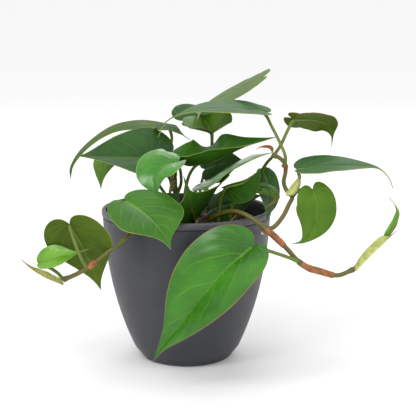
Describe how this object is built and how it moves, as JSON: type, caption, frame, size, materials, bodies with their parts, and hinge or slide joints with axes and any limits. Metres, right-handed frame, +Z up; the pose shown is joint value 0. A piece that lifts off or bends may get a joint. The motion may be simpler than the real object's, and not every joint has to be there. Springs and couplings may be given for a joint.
{
  "type": "potted philodendron",
  "caption": "Young trailing heart-leaved plant with arching vines in a round, tapered plant pot that stands on its flat base.",
  "frame": {"origin": "centre of the pot's flat base, on the surface that the pot stands on", "axes": "+Z up, +X to the plant's right along its longest side, +Y to the back"},
  "size_m": [0.2487, 0.193, 0.2032],
  "materials": {
    "pot_shell": "satin slate-grey moulded shell with a slightly lighter rounded lip",
    "potting_mix": "loose dark brown potting mix, rough, with pale grit",
    "vine_skin": "smooth olive-green vine skin with browner nodes",
    "leaf_blade": "satin to glossy green leaf skin with curved veins, paler margin and olive underside",
    "young_leaf": "glossy light green young leaf with a pale margin",
    "fresh_sheath": "pale yellow-green bud sheath with a brown edge",
    "dry_sheath": "dry papery orange-brown bud sheath, streaked lengthwise"
  },
  "bodies": {
    "root": {"pot": "pot_shell", "soil": "potting_mix", "vine_right": "vine_skin", "vine_upright": "vine_skin", "vine_left": "vine_skin", "stem_centre": "vine_skin", "leaf_front": "leaf_blade", "leaf_rim_left": "leaf_blade", "leaf_trailing_left": "leaf_blade", "leaf_young_left": "young_leaf", "leaf_arched_back": "leaf_blade", "leaf_tip_back": "leaf_blade", "leaf_dark_left": "leaf_blade", "leaf_hanging_back": "leaf_blade", "leaf_gloss_folded": "leaf_blade", "leaf_centre": "leaf_blade", "leaf_umbrella": "leaf_blade", "leaf_long_top": "leaf_blade", "leaf_behind_top": "leaf_blade", "leaf_top": "leaf_blade", "leaf_folded_right": "leaf_blade", "leaf_cupped": "leaf_blade", "leaf_under_right": "leaf_blade", "leaf_hanging_right": "leaf_blade", "leaf_dry_tip": "leaf_blade", "leaf_low_shadow": "leaf_blade", "leaf_heart_right": "leaf_blade", "leaf_long_right": "leaf_blade", "leaf_top_right": "leaf_blade", "leaf_behind_centre": "leaf_blade", "leaf_low_left": "leaf_blade", "leaf_new_right": "young_leaf", "twig": "dry_sheath", "sheath_tip_left": "fresh_sheath", "sheath_node_right": "fresh_sheath", "sheath_tip_right": "fresh_sheath", "sheath_curled_dry": "dry_sheath", "sheath_upper_dry": "dry_sheath", "sheath_centre": "fresh_sheath", "sleeve_fork_right": "dry_sheath", "sleeve_end_right": "dry_sheath", "sleeve_node_left": "dry_sheath"}
  },
  "joints": []
}
